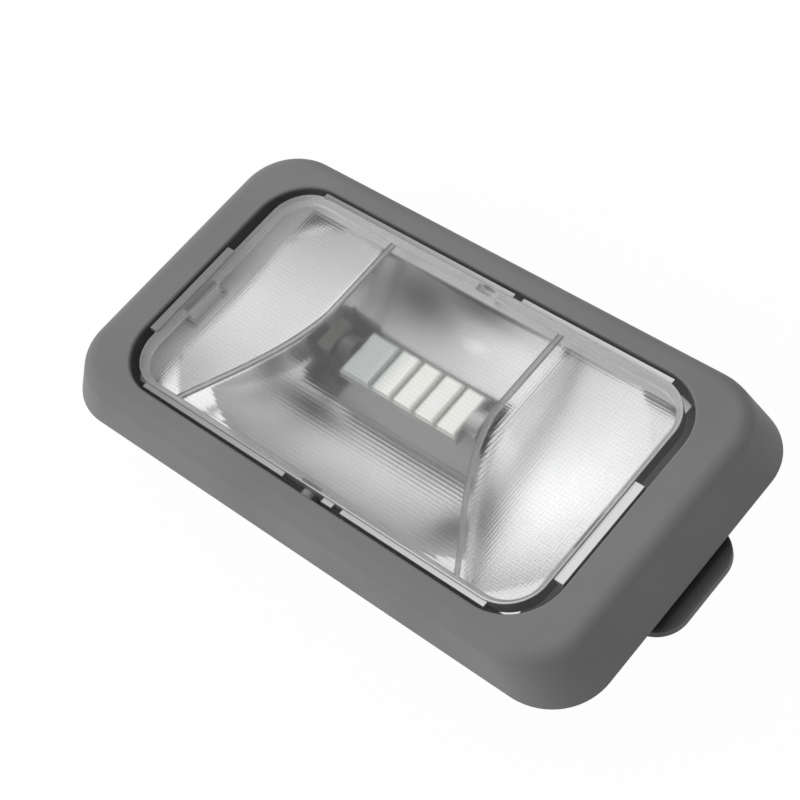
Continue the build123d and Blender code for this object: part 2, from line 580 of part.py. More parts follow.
def make_common_strip():
    """Strip from the lamp's right contact to a tab under the back end of both bridges."""
    half = STRIP_WIDTH / 2
    low, high = COMMON_RAIL_Y - half, COMMON_RAIL_Y + half
    reach = PEG_X + TAB_WIDTH / 2
    strip = floor_run(-reach, reach, low, high)
    near = LAMP_X + CONTACT_X
    strip += floor_run(near, near + STRIP_WIDTH, LAMP_Y - CONTACT_WIDTH / 2, high)
    strip += make_lamp_contact(1, 0)
    tip_y = LIP_Y + BRIDGE_HALF - TAB_OVERLAP
    for x in (-PEG_X, PEG_X):
        strip += make_tab(x, low, tip_y)
    return without_stakes(strip, COMMON_STAKES)


def make_switched_strip(blade_x, end_x, stakes):
    """Strip from an outer blade along the socket to a tab under the front end of one bridge."""
    half = STRIP_WIDTH / 2
    low, high = FRONT_RAIL_Y - half, FRONT_RAIL_Y + half
    far = end_x + math.copysign(TAB_WIDTH / 2, end_x)
    near = blade_x - math.copysign(half, end_x)
    strip = make_blade(blade_x) + floor_run(blade_x - half, blade_x + half, SOCKET_INNER_Y, high)
    strip += floor_run(near, far, low, high)
    strip += make_tab(end_x, high - STRIP_THICK, LIP_Y - BRIDGE_HALF + TAB_OVERLAP)
    return without_stakes(strip, stakes)


def make_bridge(facing):
    """Brass clip folded round the foot of a lens peg; its ends close the circuit when the lens is pressed."""
    inside = LENS_LENGTH / 2 - LENS_SKIRT_WALL
    near, far = inside - BRIDGE_THICK, BRIDGE_OUTSIDE
    bar = block(near, far, LIP_Y - BRIDGE_HALF, LIP_Y + BRIDGE_HALF, BRIDGE_BACK, PEG_FOOT)
    low, high = LIP_Y - BRIDGE_CHEEK_WIDTH / 2, LIP_Y + BRIDGE_CHEEK_WIDTH / 2
    top = PEG_FOOT + BRIDGE_CHEEK_HEIGHT
    bar += block(near, inside, low, high, BRIDGE_BACK, top)
    bar += block(LENS_LENGTH / 2, far, low, high, BRIDGE_BACK, top)
    return bar if facing > 0 else mirror(bar, Plane.YZ)


def make_led(number):
    """One light cell on the board, counted from the left."""
    extra = 0 if number else LED_FIRST_EXTRA
    x = (number - (LED_COUNT - 1) / 2) * LED_PITCH - extra / 2
    cell = Pos(x, LAMP_Y, LED_FRONT - LED_THICK / 2) * Box(LED_LENGTH + extra, LED_WIDTH, LED_THICK)
    return chamfer(cell.faces().sort_by(Axis.Z)[-1].edges(), LED_EDGE)


def make_lamp_board():
    """Board with a tongue at each end that fits into the caps."""
    middle = Pos(LAMP_X, LAMP_Y, LAMP_Z)
    board = middle * Box(2 * BOARD_HALF, BOARD_WIDTH, BOARD_THICK)
    return board + middle * Box(2 * (BOARD_HALF + BOARD_TONGUE_LENGTH), BOARD_TONGUE_WIDTH, BOARD_THICK)


def make_lamp_cap(facing):
    """Metal end cap with a cone tip, slotted for the board's tongue."""
    barrel = Cylinder(CAP_RADIUS, CAP_LENGTH, align=(Align.CENTER, Align.CENTER, Align.MIN))
    barrel = fillet(barrel.faces().sort_by(Axis.Z)[-1].edges(), CAP_ROUND)
    tip = Cone(TIP_RADIUS, TIP_END_RADIUS, TIP_LENGTH, align=(Align.CENTER, Align.CENTER, Align.MIN))
    cap = Pos(LAMP_X + BOARD_HALF, LAMP_Y, LAMP_Z) * Rot(0, 90, 0) * (barrel + Pos(0, 0, CAP_LENGTH) * tip)
    cap -= make_lamp_board()
    return cap if facing > 0 else mirror(cap, LAMP_MIDDLE)


def make_retaining_clip():
    """Bent spring strip on the housing's left wall; its nose snaps behind the roof panel."""
    wall = -HOUSING_LENGTH / 2 - CLIP_THICK / 2
    nose = (wall - CLIP_NOSE_REACH, CLIP_NOSE_Z)
    end = (wall - CLIP_END_REACH, CLIP_END_Z)
    path = FilletPolyline((wall, CLIP_FOOT_Z), (wall, CLIP_BEND_Z), nose, end, radius=CLIP_BEND_RADIUS)
    clip = extrude(Plane.XZ * trace(path, CLIP_THICK), CLIP_WIDTH / 2, both=True)
    hole = Rot(0, 90, 0) * Cylinder(STUD_RADIUS + STUD_CLEARANCE, 2 * CLIP_THICK)
    return clip - Pos(wall, 0, STUD_Z) * hole


def make_screw(x, y):
    """Self-tapping screw, head towards the roof, with a cross recess."""
    head_low = FLANGE_RECESS - SCREW_HEAD_HEIGHT
    screw = rod(x, y, head_low, FLANGE_RECESS, SCREW_HEAD_RADIUS)
    screw += rod(x, y, FLANGE_RECESS, FLANGE_RECESS + SCREW_LENGTH, SCREW_RADIUS)
    arm = SCREW_HEAD_RADIUS - SCREW_RECESS
    half = SCREW_RECESS_WIDTH / 2
    screw -= block(x - arm, x + arm, y - half, y + half, head_low, head_low + SCREW_RECESS)
    return screw - block(x - half, x + half, y - arm, y + arm, head_low, head_low + SCREW_RECESS)


def make_nodes():
    """Every piece of the light by its node's name."""
    earth_x, _, door_x = blade_places()
    nodes = {
        "bezel": make_bezel(),
        "lens": make_lens(),
        "reflector": make_reflector(),
        "rear_housing": make_rear_housing(),
        "lamp_board": make_lamp_board(),
        "lamp_cap_left": make_lamp_cap(-1),
        "lamp_cap_right": make_lamp_cap(1),
        "feed_strip": make_feed_strip(),
        "common_strip": make_common_strip(),
        "earth_strip": make_switched_strip(earth_x, -PEG_X, EARTH_STAKES),
        "door_strip": make_switched_strip(door_x, PEG_X, DOOR_STAKES),
        "on_bridge": make_bridge(-1),
        "door_bridge": make_bridge(1),
        "retaining_clip": make_retaining_clip(),
        "housing_screws": Compound([make_screw(x, y) for x, y in SCREW_SPOTS]),
    }
    for number in range(LED_COUNT):
        nodes[f"led_{number + 1}"] = make_led(number)
    return nodes


os.makedirs("parts", exist_ok=True)
for node, shape in make_nodes().items():
    export_step(shape, f"parts/{node}.step")
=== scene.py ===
"""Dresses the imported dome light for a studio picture: lens, reflector, lamp and mouldings."""

import logging
import math
from dataclasses import dataclass
from enum import Enum
from typing import Any

import bmesh
import bpy
from mathutils import Euler, Matrix, Vector
from mathutils.kdtree import KDTree

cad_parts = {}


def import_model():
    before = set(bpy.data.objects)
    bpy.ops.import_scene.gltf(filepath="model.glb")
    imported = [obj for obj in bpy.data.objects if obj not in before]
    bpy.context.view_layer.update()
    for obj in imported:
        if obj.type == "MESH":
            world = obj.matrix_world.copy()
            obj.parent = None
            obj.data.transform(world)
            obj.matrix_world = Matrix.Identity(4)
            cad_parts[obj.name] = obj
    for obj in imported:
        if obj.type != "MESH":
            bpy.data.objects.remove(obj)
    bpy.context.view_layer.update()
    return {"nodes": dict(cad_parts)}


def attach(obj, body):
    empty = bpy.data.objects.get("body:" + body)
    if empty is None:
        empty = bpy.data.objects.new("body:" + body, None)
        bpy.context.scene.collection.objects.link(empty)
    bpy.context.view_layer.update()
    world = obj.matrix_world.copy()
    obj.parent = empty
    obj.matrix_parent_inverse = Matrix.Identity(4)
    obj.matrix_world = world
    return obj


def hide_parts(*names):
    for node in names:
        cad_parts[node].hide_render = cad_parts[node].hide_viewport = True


LOG = logging.getLogger("dome_light")

Colour = tuple[float, float, float]
Place = tuple[float, float, float]
Nodes = dict[str, bpy.types.Object]
Socket = bpy.types.NodeSocket

MM = 0.001
MIDDLE: Place = (0.0, 0.0, 0.0)


def grey(level: float) -> Colour:
    """Make a neutral colour.

    Args:
        level: Its level from 0 to 1.

    Returns:
        The colour.
    """
    return (level, level, level)


def mm(x: float, y: float, z: float = 0.0) -> Place:
    """Turn millimetres into a place in metres.

    Args:
        x: Millimetres along X.
        y: Millimetres along Y.
        z: Millimetres along Z.

    Returns:
        The place.
    """
    return (x * MM, y * MM, z * MM)


class Body(Enum):
    """Moving bodies of the light that new pieces ride on."""

    ROCKER = "rocker"


class Field(Enum):
    """End fields of the lens, by the sign of their X."""

    LEFT = -1
    RIGHT = 1


class Zone(Enum):
    """Finishes of the lens, by material number."""

    CLEAR = 0
    SATIN = 1
    DARK = 2
    FROSTED = 3
    RIB = 4


class Wiring:
    """Adds nodes to one shader tree and joins their sockets."""

    def __init__(self, tree: bpy.types.NodeTree) -> None:
        """Keep the tree that the nodes go into.

        Args:
            tree: Node tree of a material, a world or a group.
        """
        self.tree = tree

    def feed(self, node: bpy.types.Node, inputs: dict[str | int, Any]) -> None:
        """Set inputs of a node.

        Args:
            node: The node.
            inputs: Socket name or number to a value, or to a socket that is joined to it.
        """
        for name, value in inputs.items():
            if isinstance(value, Socket):
                self.tree.links.new(value, node.inputs[name])
            else:
                node.inputs[name].default_value = value

    def node(self, kind: str, inputs: dict[str | int, Any] | None = None, **settings: Any) -> bpy.types.Node:
        """Add a node.

        Args:
            kind: Blender's name of the node type.
            inputs: Inputs, as for feed.
            **settings: Properties set on the node.

        Returns:
            The new node.
        """
        node = self.tree.nodes.new(kind)
        for name, value in settings.items():
            setattr(node, name, value)
        self.feed(node, inputs or {})
        return node

    def sum(self, operation: str, *values: Any) -> Socket:
        """Add a Math node.

        Args:
            operation: Blender's name of the operation.
            *values: Numbers or sockets, in order.

        Returns:
            The result's socket.
        """
        return self.node("ShaderNodeMath", dict(enumerate(values)), operation=operation).outputs[0]

    def vector(self, operation: str, *values: Any) -> Any:
        """Add a Vector Math node.

        Args:
            operation: Blender's name of the operation.
            *values: Vectors or sockets, in order.

        Returns:
            The node's outputs.
        """
        return self.node("ShaderNodeVectorMath", dict(enumerate(values)), operation=operation).outputs

    def axes(self, places: Socket) -> Any:
        """Split a vector.

        Args:
            places: The vector's socket.

        Returns:
            Outputs named X, Y and Z.
        """
        return self.node("ShaderNodeSeparateXYZ", {0: places}).outputs

    def blend(self, mask: Socket, low: Colour | Socket, high: Colour | Socket) -> Socket:
        """Add a colour mix.

        Args:
            mask: Socket from 0 to 1.
            low: Colour, or its socket, where the mask is 0.
            high: Colour, or its socket, where the mask is 1.

        Returns:
            The mixed colour's socket.
        """
        mix = self.node("ShaderNodeMix", {0: mask}, data_type="RGBA")
        for slot, value in ((6, low), (7, high)):
            self.feed(mix, {slot: value if isinstance(value, Socket) else (*value, 1.0)})
        return mix.outputs[2]

    def spread(self, mask: Socket, low: float, high: float) -> Socket:
        """Map a mask from 0 to 1 onto another range.

        Args:
            mask: Socket of the mask.
            low: Result where the mask is 0.
            high: Result where the mask is 1.

        Returns:
            The mapped value's socket.
        """
        inputs = {"Value": mask, "To Min": low, "To Max": high}
        return self.node("ShaderNodeMapRange", inputs).outputs["Result"]

    def ramp(self, value: Socket, start: float, end: float) -> Socket:
        """Map a range onto a mask from 0 to 1.

        Args:
            value: Socket of the value.
            start: Value where the mask is 0.
            end: Value where the mask is 1.

        Returns:
            The mask's socket.
        """
        inputs = {"Value": value, "From Min": start, "From Max": end}
        return self.node("ShaderNodeMapRange", inputs).outputs["Result"]

    def bump(self, height: Socket, strength: float, distance: float) -> Socket:
        """Add a bump.

        Args:
            height: Socket of the height.
            strength: How much of the bump is used.
            distance: Height in metres of a value of 1.

        Returns:
            The normal's socket.
        """
        inputs = {"Strength": strength, "Distance": distance, "Height": height}
        return self.node("ShaderNodeBump", inputs).outputs["Normal"]

    def inside(self, places: Socket, middle: Place, half: Place) -> Socket:
        """Add the mask of an upright box without top or bottom.

        Args:
            places: Object coordinates.
            middle: The box's middle.
            half: Half of its length and width.

        Returns:
            Socket that is 1 inside and 0 outside.
        """
        moved = self.vector("SUBTRACT", places, middle)[0]
        away = self.axes(self.vector("ABSOLUTE", moved)[0])
        across = self.sum("LESS_THAN", away["X"], half[0])
        along = self.sum("LESS_THAN", away["Y"], half[1])
        return self.sum("MULTIPLY", across, along)


class SharedGroups:
    """Shader groups that several finishes use."""

    def __init__(self) -> None:
        """Build the groups."""
        self.grain = self._grain()
        self.streaks = self._streaks()

    def _start(
        self, name: str, inputs: dict[str, float], outputs: tuple[str, ...]
    ) -> tuple[Wiring, Any, bpy.types.Node]:
        """Start a group.

        Args:
            name: The group's name.
            inputs: Names of the value inputs, with their usual values; a Vector input is always there.
            outputs: Names of the value outputs.

        Returns:
            The group's wiring, what it is given and its output node.
        """
        tree = bpy.data.node_groups.new(name, "ShaderNodeTree")
        tree.interface.new_socket(name="Vector", in_out="INPUT", socket_type="NodeSocketVector")
        for label, usual in inputs.items():
            socket = tree.interface.new_socket(name=label, in_out="INPUT", socket_type="NodeSocketFloat")
            socket.default_value = usual
        for label in outputs:
            tree.interface.new_socket(name=label, in_out="OUTPUT", socket_type="NodeSocketFloat")
        wiring = Wiring(tree)
        return wiring, wiring.node("NodeGroupInput").outputs, wiring.node("NodeGroupOutput")

    def _grain(self) -> bpy.types.NodeTree:
        """Moulded grain: a fine pebbled height and a broad mottle.

        Returns:
            The group's tree.
        """
        scales = {"Fine Scale": 2500.0, "Broad Scale": 60.0}
        wiring, given, leave = self._start("moulded_grain", scales, ("Height", "Mottle"))
        near = {"Vector": given["Vector"], "Scale": given["Fine Scale"]}
        far = {"Vector": given["Vector"], "Scale": given["Broad Scale"]}
        fine = wiring.node("ShaderNodeTexNoise", {**near, "Detail": 3.0, "Roughness": 0.6})
        pebbles = wiring.node("ShaderNodeTexVoronoi", near)
        broad = wiring.node("ShaderNodeTexNoise", {**far, "Detail": 4.0})
        height = wiring.sum("MULTIPLY_ADD", pebbles.outputs["Distance"], -0.5, fine.outputs["Fac"])
        wiring.feed(leave, {"Height": height, "Mottle": wiring.ramp(broad.outputs["Fac"], 0.3, 0.7)})
        return wiring.tree

    def _streaks(self) -> bpy.types.NodeTree:
        """Rolled or drawn metal: fine streaks along X and cloudy tarnish.

        Returns:
            The group's tree.
        """
        scales = {"Scale": 900.0, "Draw": 0.06}
        wiring, given, leave = self._start("drawn_streaks", scales, ("Streak", "Cloud"))
        stretch = wiring.node("ShaderNodeCombineXYZ", {"X": given["Draw"], "Y": 1.0, "Z": 1.0})
        drawn = wiring.vector("MULTIPLY", given["Vector"], stretch.outputs[0])[0]
        streak = wiring.node("ShaderNodeTexNoise", {"Vector": drawn, "Scale": given["Scale"], "Detail": 2.0})
        cloud = wiring.node("ShaderNodeTexNoise", {"Vector": given["Vector"], "Scale": 140.0, "Detail": 5.0})
        wiring.feed(leave, {"Streak": streak.outputs["Fac"], "Cloud": cloud.outputs["Fac"]})
        return wiring.tree


def new_material(name: str) -> tuple[bpy.types.Material, Wiring, bpy.types.Node, Socket]:
    """Start a node material.

    Args:
        name: The material's name.

    Returns:
        The material, its wiring, its Principled shader and its Object coordinates.
    """
    material = bpy.data.materials.new(name)
    material.use_nodes = True
    wiring = Wiring(material.node_tree)
    shader = material.node_tree.nodes["Principled BSDF"]
    return material, wiring, shader, wiring.node("ShaderNodeTexCoord").outputs["Object"]


@dataclass(frozen=True)
class MouldedPlastic:
    """Matte moulded plastic with a fine grain."""

    name: str
    colour: Colour
    shade: Colour
    roughness: float
    grain_scale: float
    grain_depth: float
    sheen: float = 0.35

    def material(self, groups: SharedGroups) -> bpy.types.Material:
        """Build the material.

        Args:
            groups: Shared shader groups.

        Returns:
            The material.
        """
        material, wiring, shader, places = new_material(self.name)
        scale = {"Vector": places, "Fine Scale": self.grain_scale}
        grain = wiring.node("ShaderNodeGroup", scale, node_tree=groups.grain).outputs
        finish = {
            "Base Color": self._tone(wiring, places, grain["Mottle"]),
            "Roughness": wiring.spread(grain["Mottle"], self.roughness + 0.06, self.roughness - 0.04),
            "Normal": wiring.bump(grain["Height"], 0.5, self.grain_depth),
            "Specular IOR Level": self.sheen,
        }
        wiring.feed(shader, finish)
        return material

    def _tone(self, wiring: Wiring, places: Socket, mottle: Socket) -> Socket:
        """Mix the colour.

        Args:
            wiring: The material's wiring.
            places: Object coordinates; not used here.
            mottle: Mask of the broad mottle.

        Returns:
            The colour's socket.
        """
        return wiring.blend(mottle, self.shade, self.colour)


@dataclass(frozen=True)
class ShadedCollar(MouldedPlastic):
    """Moulded plastic with painted shade: dark on the walls of the opening below the rim, standing in for
    the shade in the gap round the lens.
    """

    painted_shade: Colour = grey(0.07)
    opening_half: Place = mm(50.3, 26.9)
    unshaded_above: float = 9.7 * MM
    shaded_below: float = 9.0 * MM

    def _tone(self, wiring: Wiring, places: Socket, mottle: Socket) -> Socket:
        """Mix the colour and the painted shade.

        Args:
            wiring: The material's wiring.
            places: Object coordinates.
            mottle: Mask of the broad mottle.

        Returns:
            The colour's socket.
        """
        # Painted shade: the walls inside the opening darken below the rim, for the shade in the gap.
        low = wiring.ramp(wiring.axes(places)["Z"], self.unshaded_above, self.shaded_below)
        shade_mask = wiring.sum("MULTIPLY", low, wiring.inside(places, MIDDLE, self.opening_half))
        return wiring.blend(shade_mask, wiring.blend(mottle, self.shade, self.colour), self.painted_shade)


@dataclass(frozen=True)
class TongueLitTip(MouldedPlastic):
    """Moulded plastic with painted light: paler towards the tongue's tip, away from the bezel's shade, where
    its rounded edge catches the light.
    """

    painted_tip_light: Colour = grey(0.085)
    tip_light_from: float = 62.4 * MM
    tip_light_to: float = 64.6 * MM

    def _tone(self, wiring: Wiring, places: Socket, mottle: Socket) -> Socket:
        """Mix the colour and the painted light on the tip.

        Args:
            wiring: The material's wiring.
            places: Object coordinates.
            mottle: Mask of the broad mottle.

        Returns:
            The colour's socket.
        """
        # Painted light: the tongue turns paler towards its tip along X.
        tip_light = wiring.ramp(wiring.axes(places)["X"], self.tip_light_from, self.tip_light_to)
        return wiring.blend(tip_light, wiring.blend(mottle, self.shade, self.colour), self.painted_tip_light)


@dataclass(frozen=True)
class ClearPlastic:
    """Clear or clouded plastic that lets the lamps light what is behind it."""

    name: str
    tint: Colour = (0.995, 1.0, 1.0)
    refraction: float = 1.49
    roughness: float = 0.02
    shade: float = 0.0
    clarity: float = 1.0
    # Tint at the +X end: painted light, lighter towards the right.
    lit_side_tint: Colour | None = None
    # Tint seen from within the plastic: painted light, against the painted shade of the outside tint.
    inner_light_tint: Colour | None = None
    line_tint: Colour | None = None
    tint_reach: float = 48.5 * MM
    line_pitch: float = 0.8 * MM
    line_top: float = 9.0 * MM
    ripple_scale: float = 160.0
    ripple_depth: float = 0.02 * MM

    def material(self, groups: SharedGroups) -> bpy.types.Material:
        """Build the material.

        Args:
            groups: Shared shader groups.

        Returns:
            The material.
        """
        material, wiring, shader, places = new_material(self.name)
        scale = {"Vector": places, "Fine Scale": self.ripple_scale}
        mottle = wiring.node("ShaderNodeGroup", scale, node_tree=groups.grain).outputs["Mottle"]
        shadow = wiring.node("ShaderNodeLightPath").outputs["Is Shadow Ray"]
        finish = {
            "Base Color": self._tone(wiring, places),
            "Roughness": wiring.spread(mottle, self.roughness, self.roughness + 0.03),
            "Normal": wiring.bump(mottle, 0.05, self.ripple_depth),
            "Alpha": wiring.spread(shadow, 1.0, self.shade),
            "Transmission Weight": self.clarity,
            "IOR": self.refraction,
        }
        wiring.feed(shader, finish)
        return material

    def _tone(self, wiring: Wiring, places: Socket) -> Socket | tuple[float, ...]:
        """Mix the tint with the second tint that the finish has, if any; the first two kinds paint light and
        shade.

        Args:
            wiring: The material's wiring.
            places: Object coordinates.

        Returns:
            The colour's socket, or the plain colour.
        """
        # Painted light across X: dark towards the left end, pale towards the right, for the light reflected
        # inside the right lip.
        if self.lit_side_tint is not None:
            across = wiring.ramp(wiring.axes(places)["X"], -self.tint_reach, self.tint_reach)
            return wiring.blend(across, self.tint, self.lit_side_tint)
        # Painted shade and light: dark where the wall is seen from outside, pale where it is seen from
        # within the plastic.
        if self.inner_light_tint is not None:
            within = wiring.node("ShaderNodeNewGeometry").outputs["Backfacing"]
            return wiring.blend(within, self.tint, self.inner_light_tint)
        if self.line_tint is not None:
            return wiring.blend(self._lines(wiring, places), self.tint, self.line_tint)
        return (*self.tint, 1.0)

    def _lines(self, wiring: Wiring, places: Socket) -> Socket:
        """Mask of the fine crossed lines on the back.

        Args:
            wiring: The material's wiring.
            places: Object coordinates.

        Returns:
            Socket from 0 to 1.
        """
        axes = wiring.axes(places)
        across = wiring.sum("SINE", wiring.sum("MULTIPLY", axes["X"], math.tau / self.line_pitch))
        along = wiring.sum("SINE", wiring.sum("MULTIPLY", axes["Y"], math.tau / self.line_pitch))
        grid = wiring.sum("MULTIPLY_ADD", wiring.sum("ADD", across, along), 0.25, 0.5)
        return wiring.sum("MULTIPLY", grid, wiring.sum("LESS_THAN", axes["Z"], self.line_top))


@dataclass(frozen=True)
class Patch:
    """Soft upright oval on the reflector; its depth from 0 to 1 sets how strongly it paints a dark
    reflection, and in one case the white highlight.
    """

    middle: Place
    half: tuple[float, float]
    depth: float

    def mask(self, wiring: Wiring, places: Socket) -> Socket:
        """Add the oval's mask.

        Args:
            wiring: The material's wiring.
            places: Object coordinates.

        Returns:
            Socket that is the depth in the middle and fades to 0 outside.
        """
        moved = wiring.vector("SUBTRACT", places, self.middle)[0]
        scaled = wiring.vector("DIVIDE", moved, (self.half[0] * MM, self.half[1] * MM, 1.0))[0]
        away = wiring.vector("DOT_PRODUCT", scaled, scaled)["Value"]
        soft = wiring.sum("EXPONENT", wiring.sum("MULTIPLY", away, -1.0))
        return wiring.sum("MULTIPLY", soft, self.depth)


@dataclass(frozen=True)
class Metallised:
    """Vacuum-metallised moulding: bright, a little soft, with painted dark reflections, a painted highlight
    and painted shade.
    """

    name: str = "metallised"
    colour: Colour = grey(0.97)
    shade: Colour = grey(0.92)
    shade_grey: Colour = grey(0.1)
    rim_grey: Colour = grey(0.7)
    well_grey: Colour = grey(0.42)
    highlight_white: Colour = (0.9, 0.9, 0.89)
    dark_reflection: Colour = grey(0.1)
    roughness: float = 0.2
    bare_roughness: float = 0.5
    grain_scale: float = 400.0
    window_half: Place = mm(43.96, 23.46)
    rim_middle: Place = mm(-3.55, 1.95)
    rim_half: Place = mm(47.45, 25.55)
    well_middle: Place = mm(-3.08, 3.4)
    well_half: Place = mm(21.06, 7.98)
    contact_middle: Place = mm(-21.6, 4.5)
    contact_half: Place = mm(3.6, 7.5)
    contact_brim: float = 0.4 * MM
    # Painted dark reflections: dark ovals where the mirror would show dark surroundings.
    dark_reflections: tuple[Patch, ...] = (
        Patch(mm(-18.5, -8.0), (9.0, 2.8), 1.0),
        Patch(mm(-14.0, 20.0), (10.0, 4.8), 0.95),
        Patch(mm(-3.0, 23.0), (10.0, 2.2), 0.9),
        Patch(mm(22.5, -14.0), (4.5, 5.0), 0.8),
    )
    # Painted highlight: a soft white, unmetallic spot behind the lamp.
    painted_highlight: Patch = Patch(mm(1.0, 17.3), (2.6, 0.9), 1.0)

    def material(self, groups: SharedGroups) -> bpy.types.Material:
        """Build the material.

        Args:
            groups: Shared shader groups.

        Returns:
            The material.
        """
        material, wiring, shader, places = new_material(self.name)
        scale = {"Vector": places, "Fine Scale": self.grain_scale}
        grain = wiring.node("ShaderNodeGroup", scale, node_tree=groups.grain).outputs
        low = wiring.sum("LESS_THAN", wiring.axes(places)["Z"], self.contact_brim)
        contact = wiring.inside(places, self.contact_middle, self.contact_half)
        contact = wiring.sum("MULTIPLY", contact, low)
        well = wiring.inside(places, self.well_middle, self.well_half)
        window = wiring.inside(places, MIDDLE, self.window_half)
        rim = wiring.inside(places, self.rim_middle, self.rim_half)
        plated = wiring.sum("SUBTRACT", window, wiring.sum("MAXIMUM", well, contact))
        painted_highlight = self.painted_highlight.mask(wiring, places)
        bright = wiring.blend(grain["Mottle"], self.shade, self.colour)
        # Painted dark reflections darken the metal in soft ovals.
        for patch in self.dark_reflections:
            bright = wiring.blend(patch.mask(wiring, places), bright, self.dark_reflection)
        # Painted highlight: white, and not metallic where the spot lies.
        bright = wiring.blend(painted_highlight, bright, self.highlight_white)
        # Painted shade: dark grey outside the window, where the flange sits in the gap's shade, and at the
        # contact end of the well.
        colour = wiring.blend(plated, self.shade_grey, bright)
        # The rim box reaches further left and back than right and front, so the flange is pale on the left
        # and back and keeps the painted shade on the right and front.
        colour = wiring.blend(wiring.sum("SUBTRACT", rim, window), colour, self.rim_grey)
        colour = wiring.blend(wiring.sum("SUBTRACT", well, contact), colour, self.well_grey)
        rough = wiring.spread(grain["Mottle"], self.roughness + 0.06, self.roughness)
        finish = {
            "Base Color": colour,
            "Roughness": wiring.sum("MAXIMUM", rough, wiring.spread(plated, self.bare_roughness, 0.0)),
            "Normal": wiring.bump(grain["Height"], 0.2, 0.02 * MM),
            "Metallic": wiring.sum("MULTIPLY", plated, wiring.spread(painted_highlight, 1.0, 0.0)),
        }
        wiring.feed(shader, finish)
        return material


@dataclass(frozen=True)
class StampedMetal:
    """Rolled sheet or turned metal with fine streaks and a little tarnish."""

    name: str
    colour: Colour
    tarnish: Colour
    roughness: float

    def material(self, groups: SharedGroups) -> bpy.types.Material:
        """Build the material.

        Args:
            groups: Shared shader groups.

        Returns:
            The material.
        """
        material, wiring, shader, places = new_material(self.name)
        metal = wiring.node("ShaderNodeGroup", {"Vector": places}, node_tree=groups.streaks).outputs
        finish = {
            "Base Color": wiring.blend(metal["Cloud"], self.tarnish, self.colour),
            "Roughness": wiring.spread(metal["Streak"], self.roughness - 0.08, self.roughness + 0.12),
            "Normal": wiring.bump(metal["Streak"], 0.3, 0.01 * MM),
            "Metallic": 1.0,
        }
        wiring.feed(shader, finish)
        return material


@dataclass(frozen=True)
class LampCell:
    """Light cell: white resin with a faint yellow-green tint of phosphor; the first cell carries painted
    shade, greyer and a little greenish.
    """

    name: str = "lamp_cell"
    resin: Colour = (0.97, 0.97, 0.96)
    phosphor: Colour = (0.95, 0.96, 0.88)
    first_cell_shade: Colour = (0.5, 0.54, 0.53)
    shade_end: float = -10.0 * MM
    unshaded_from: float = -4.0 * MM
    grain_scale: float = 1500.0
    mottle_scale: float = 260.0

    def material(self, groups: SharedGroups) -> bpy.types.Material:
        """Build the material.

        Args:
            groups: Shared shader groups.

        Returns:
            The material.
        """
        material, wiring, shader, places = new_material(self.name)
        scale = {"Vector": places, "Fine Scale": self.grain_scale, "Broad Scale": self.mottle_scale}
        grain = wiring.node("ShaderNodeGroup", scale, node_tree=groups.grain).outputs
        # Painted shade: the cells turn greyer towards the left end, over the first cell.
        first_cell_shading = wiring.ramp(wiring.axes(places)["X"], self.shade_end, self.unshaded_from)
        cell_tone = wiring.blend(grain["Mottle"], self.resin, self.phosphor)
        finish = {
            "Base Color": wiring.blend(first_cell_shading, self.first_cell_shade, cell_tone),
            "Roughness": wiring.spread(grain["Mottle"], 0.32, 0.45),
            "Normal": wiring.bump(grain["Height"], 0.2, 0.02 * MM),
        }
        wiring.feed(shader, finish)
        return material


